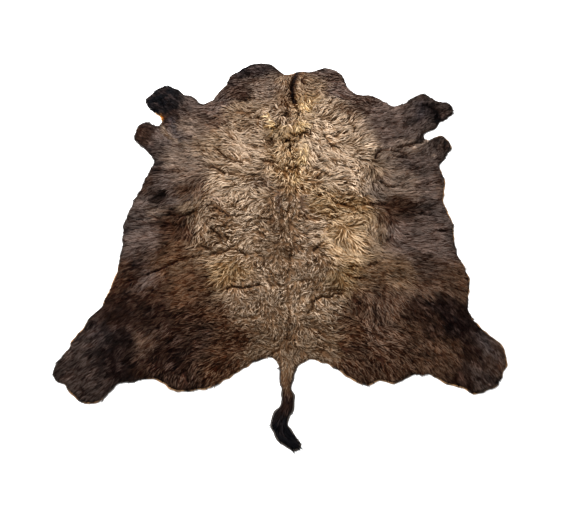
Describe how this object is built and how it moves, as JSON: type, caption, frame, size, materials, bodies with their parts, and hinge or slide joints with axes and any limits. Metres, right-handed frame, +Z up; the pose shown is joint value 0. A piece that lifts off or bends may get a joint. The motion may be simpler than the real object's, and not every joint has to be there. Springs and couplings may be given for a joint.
{
  "type": "bison hide rug",
  "caption": "Flat bison hide rug: a tanned skin with its woolly hair on, legs opened out and tail left on, lying hair side up on a floor.",
  "frame": {"origin": "on the floor, under the middle of the rug's box", "axes": "+Y along the spine toward the neck, so -Y toward the tail; +X to the right seen from the tail end; +Z up, away from the floor"},
  "size_m": [2.1074, 2.3764, 0.0454],
  "materials": {
    "hair": "matt woolly hair, tan on the back, chocolate brown on the flanks, near black on the legs and the tail's brush",
    "leather": "tanned flesh side, tan, suede-like"
  },
  "bodies": {
    "root": {"hide": "hair"}
  },
  "joints": []
}
